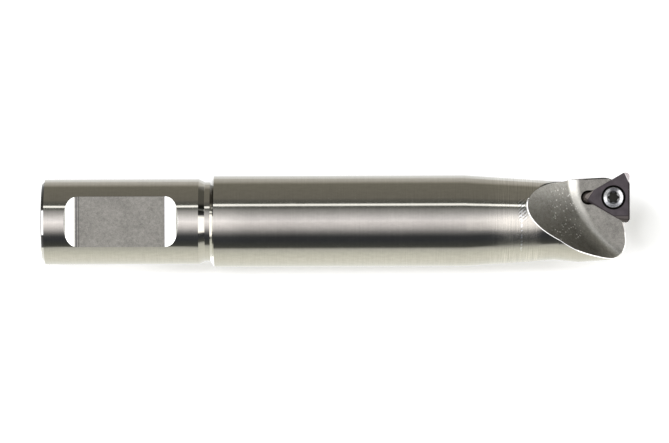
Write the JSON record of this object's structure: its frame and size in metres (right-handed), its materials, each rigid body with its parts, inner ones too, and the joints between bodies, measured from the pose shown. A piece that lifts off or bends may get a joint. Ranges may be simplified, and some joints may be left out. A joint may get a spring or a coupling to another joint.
{
  "type": "boring bar",
  "caption": "Round-shank internal turning bar with a relief groove, tapered neck, open chip gullet and a screw-held triangular insert.",
  "frame": {"origin": "centre of the shank's rear face", "axes": "+X along the bar towards the cutting end, +Z out of the clamping flat and the rake face, +Y towards the cutting corner"},
  "size_m": [0.1717, 0.0274, 0.0268],
  "materials": {
    "bar_steel": "ground and polished nickel-grey steel, matte where milled",
    "coated_carbide": "satin dark purple-grey coating on ground carbide",
    "screw_steel": "bright polished steel"
  },
  "bodies": {
    "root": {"bar": "bar_steel", "insert": "coated_carbide", "insert_screw": "screw_steel"}
  },
  "joints": []
}
